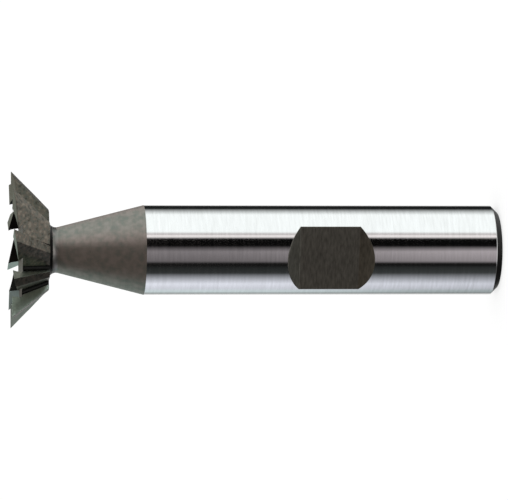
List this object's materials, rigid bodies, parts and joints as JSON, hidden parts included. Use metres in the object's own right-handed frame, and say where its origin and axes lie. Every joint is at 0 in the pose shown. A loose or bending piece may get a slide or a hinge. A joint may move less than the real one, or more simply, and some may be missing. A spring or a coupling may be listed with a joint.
{
  "type": "dovetail milling cutter",
  "caption": "Solid high-speed-steel dovetail cutter: straight shank with a clamping flat, tapered neck and a flared 45 degree toothed head.",
  "frame": {"origin": "centre of the shank's end face, on which the cutter stands", "axes": "+Z along the axis from the shank to the cutting face; the clamping flat faces -Y"},
  "size_m": [0.0206, 0.0208, 0.0655],
  "materials": {
    "tool_steel": "ground"
  },
  "bodies": {
    "root": {"cutter": "tool_steel"}
  },
  "joints": []
}
